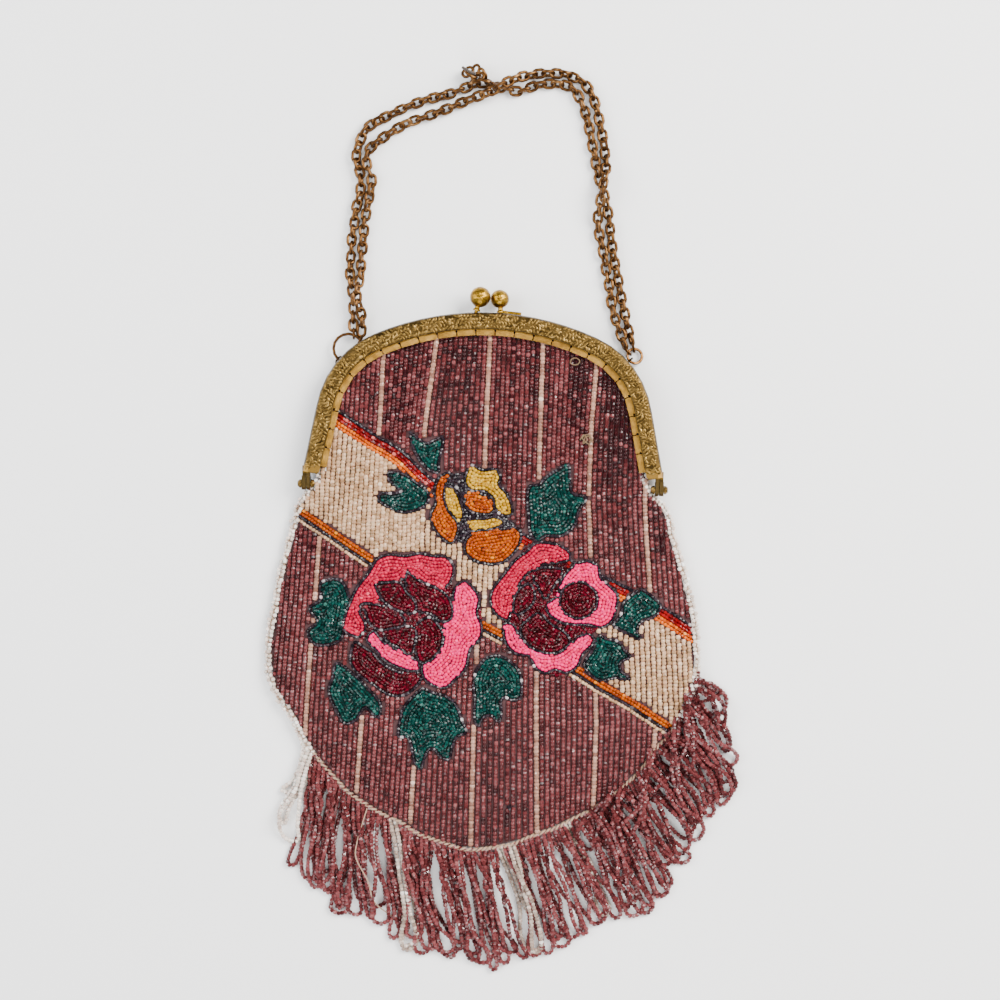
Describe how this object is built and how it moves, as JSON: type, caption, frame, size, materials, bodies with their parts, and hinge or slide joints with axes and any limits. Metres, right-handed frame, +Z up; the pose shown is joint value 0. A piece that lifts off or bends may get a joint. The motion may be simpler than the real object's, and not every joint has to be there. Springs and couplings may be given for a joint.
{
  "type": "beaded evening purse",
  "caption": "Flat beaded evening purse lying on its back, with an arched hinged brass frame, kiss clasp, looped bead fringe and chain handle.",
  "frame": {"origin": "on the surface that the purse lies on, under the middle of its outer box", "axes": "+X to the right in the front view, +Y from the fringe to the chain, +Z up from the surface, through the front panel"},
  "size_m": [0.2048, 0.3834, 0.0128],
  "materials": {
    "frame_brass": "aged, engraved, dark in the recesses",
    "pale_brass": "plain, satin",
    "clasp_brass": "polished, stippled",
    "chain_brass": "aged, coppery",
    "beadwork": "glass seed beads sewn on cloth in a flower pattern",
    "fringe_beads": "strung glass seed beads",
    "thread": "matte"
  },
  "bodies": {
    "root": {"frame_band_front": "frame_brass", "frame_band_back": "frame_brass", "sewing_rail_front": "pale_brass", "sewing_rail_back": "pale_brass", "hinge_rivet_left": "pale_brass", "hinge_rivet_right": "pale_brass", "clasp_ball_front": "clasp_brass", "clasp_ball_back": "clasp_brass", "ring_left": "frame_brass", "ring_right": "frame_brass", "end_link_left_a": "chain_brass", "end_link_left_b": "chain_brass", "end_link_right_a": "chain_brass", "end_link_right_b": "chain_brass", "chain_strand_a": "chain_brass", "chain_strand_b": "chain_brass", "bag_panel_front": "beadwork", "bag_panel_back": "beadwork", "seam_cord": "thread", "fringe": "fringe_beads"}
  },
  "joints": []
}
